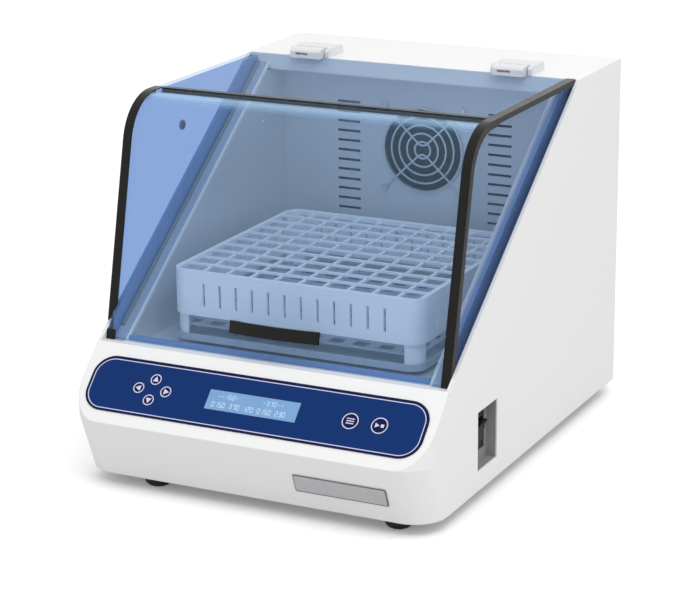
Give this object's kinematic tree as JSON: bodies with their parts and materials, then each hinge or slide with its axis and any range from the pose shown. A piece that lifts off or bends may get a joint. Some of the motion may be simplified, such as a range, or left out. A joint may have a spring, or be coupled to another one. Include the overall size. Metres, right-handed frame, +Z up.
{
  "type": "incubator shaker",
  "caption": "Benchtop incubator shaker: heated chamber under a hinged clear hood, with a tube rack on an orbiting tray driven by an eccentric crank.",
  "frame": {"origin": "on the bench, under the middle of the housing's width and depth", "axes": "+X to the right as seen from the front, +Y to the back, +Z up; the hood and controls face -Y"},
  "size_m": [0.44, 0.584, 0.4376],
  "materials": {
    "white_paint": "fine-grained off-white powder coat",
    "grey_paint": "dark grey paint",
    "plated_steel": "bright plated steel",
    "foot_rubber": "black moulded rubber",
    "white_plastic": "white moulded plastic",
    "seal_rubber": "white silicone rubber",
    "stainless": "brushed stainless sheet",
    "black_plastic": "black moulded plastic",
    "overlay_film": "printed navy overlay film",
    "key_film": "printed blue key caps",
    "display_glass": "grey-green display glass on its module",
    "board_laminate": "green circuit laminate",
    "nameplate_grey": "bare grey raised plate",
    "pocket_plastic": "grey moulded pocket",
    "cast_housing": "machined cast housings",
    "bearing_steel": "ground steel",
    "pulley_aluminium": "turned and milled aluminium",
    "belt_rubber": "black belt rubber",
    "tray_steel": "brushed stainless pan",
    "rack_steel": "light grey coated steel",
    "tinted_acrylic": "clear blue-tinted acrylic sheet"
  },
  "bodies": {
    "housing": {"housing_shell": "white_paint", "rear_cover": "white_paint", "case_screws": "plated_steel", "base_plate": "grey_paint", "rubber_feet": "foot_rubber", "opening_frame": "white_plastic", "opening_seal": "seal_rubber", "chamber_liner": "stainless", "fan_guard": "plated_steel", "fan_frame": "black_plastic", "air_duct": "stainless", "heater_element": "stainless", "control_membrane": "overlay_film", "lcd_module": "display_glass", "control_board": "board_laminate", "nameplate": "nameplate_grey", "switch_pocket": "pocket_plastic", "switch_body": "black_plastic", "power_inlet": "black_plastic", "power_supply": "stainless", "drive_frame": "grey_paint", "bearing_housings": "cast_housing", "bearings": "bearing_steel", "drive_motor": "grey_paint", "drive_belt": "belt_rubber", "hinge_bases": "white_plastic", "hinge_pins": "plated_steel"},
    "hood": {"hood_front_sheet": "tinted_acrylic", "hood_top_sheet": "tinted_acrylic", "hood_side_left": "tinted_acrylic", "hood_side_right": "tinted_acrylic", "hood_stiffeners": "tinted_acrylic", "hood_seam_strip": "black_plastic", "hood_front_trims": "black_plastic", "hood_corner_pieces": "black_plastic", "hood_top_trim": "black_plastic", "hood_handle": "black_plastic", "hood_stud": "plated_steel", "hinge_arms": "white_plastic"},
    "crank": {"main_crank": "bearing_steel", "crank_pulley": "pulley_aluminium"},
    "platform": {"drive_plate": "pulley_aluminium", "platform_posts": "bearing_steel", "platform_tray": "tray_steel", "rack_frame": "rack_steel", "rack_bars_long": "rack_steel", "rack_bars_cross": "rack_steel", "rack_shelf": "rack_steel"},
    "idler_1": {"idler_crank_1": "bearing_steel"},
    "idler_2": {"idler_crank_2": "bearing_steel"},
    "idler_3": {"idler_crank_3": "bearing_steel"},
    "belt_pulley": {"motor_pulley": "pulley_aluminium"},
    "fan_rotor": {"fan_impeller": "black_plastic"},
    "rocker": {"power_rocker": "black_plastic"},
    "key_up_cap": {"key_up": "key_film"},
    "key_down_cap": {"key_down": "key_film"},
    "key_left_cap": {"key_left": "key_film"},
    "key_right_cap": {"key_right": "key_film"},
    "key_menu_cap": {"key_menu": "key_film"},
    "key_start_cap": {"key_start": "key_film"}
  },
  "joints": [
    {"name": "hood_hinge", "type": "hinge", "parent": "housing", "child": "hood", "pos_m": [0, 0.154, 0.432], "axis": [-1, 0, 0], "range_deg": [0, 85]},
    {"name": "crank_spin", "type": "hinge", "parent": "housing", "child": "crank", "pos_m": [0, 0.001, 0.099], "axis": [0, 0, 1], "continuous": true},
    {"name": "platform_turn", "type": "hinge", "parent": "crank", "child": "platform", "pos_m": [0, -0.009, 0.122], "axis": [0, 0, 1], "continuous": true},
    {"name": "idler_1_spin", "type": "hinge", "parent": "housing", "child": "idler_1", "pos_m": [-0.1, -0.059, 0.105], "axis": [0, 0, 1], "continuous": true},
    {"name": "idler_2_spin", "type": "hinge", "parent": "housing", "child": "idler_2", "pos_m": [0.1, -0.059, 0.105], "axis": [0, 0, 1], "continuous": true},
    {"name": "idler_3_spin", "type": "hinge", "parent": "housing", "child": "idler_3", "pos_m": [0, 0.093, 0.105], "axis": [0, 0, 1], "continuous": true},
    {"name": "belt_pulley_spin", "type": "hinge", "parent": "housing", "child": "belt_pulley", "pos_m": [0.11, 0.138, 0.095], "axis": [0, 0, 1], "continuous": true},
    {"name": "fan_spin", "type": "hinge", "parent": "housing", "child": "fan_rotor", "pos_m": [0.002, 0.213, 0.313], "axis": [0, 1, 0], "continuous": true},
    {"name": "rocker_tip", "type": "hinge", "parent": "housing", "child": "rocker", "pos_m": [0.2052, -0.11475, 0.0785], "axis": [0, -1, 0], "range_deg": [0, 22]},
    {"name": "key_up_press", "type": "slide", "parent": "housing", "child": "key_up_cap", "axis": [0, 0.7022, -0.712], "range_m": [0, 0.0004], "stiffness_N_per_m": 600, "springref_m": -0.0005},
    {"name": "key_down_press", "type": "slide", "parent": "housing", "child": "key_down_cap", "axis": [0, 0.7022, -0.712], "range_m": [0, 0.0004], "stiffness_N_per_m": 600, "springref_m": -0.0005},
    {"name": "key_left_press", "type": "slide", "parent": "housing", "child": "key_left_cap", "axis": [0, 0.7022, -0.712], "range_m": [0, 0.0004], "stiffness_N_per_m": 600, "springref_m": -0.0005},
    {"name": "key_right_press", "type": "slide", "parent": "housing", "child": "key_right_cap", "axis": [0, 0.7022, -0.712], "range_m": [0, 0.0004], "stiffness_N_per_m": 600, "springref_m": -0.0005},
    {"name": "key_menu_press", "type": "slide", "parent": "housing", "child": "key_menu_cap", "axis": [0, 0.7022, -0.712], "range_m": [0, 0.0004], "stiffness_N_per_m": 600, "springref_m": -0.0005},
    {"name": "key_start_press", "type": "slide", "parent": "housing", "child": "key_start_cap", "axis": [0, 0.7022, -0.712], "range_m": [0, 0.0004], "stiffness_N_per_m": 600, "springref_m": -0.0005}
  ],
  "couplings": [
    {"joint": "platform_turn", "follows": "crank_spin", "ratio": -1},
    {"joint": "idler_1_spin", "follows": "crank_spin", "ratio": 1},
    {"joint": "idler_2_spin", "follows": "crank_spin", "ratio": 1},
    {"joint": "idler_3_spin", "follows": "crank_spin", "ratio": 1},
    {"joint": "belt_pulley_spin", "follows": "crank_spin", "ratio": 4.7273}
  ]
}
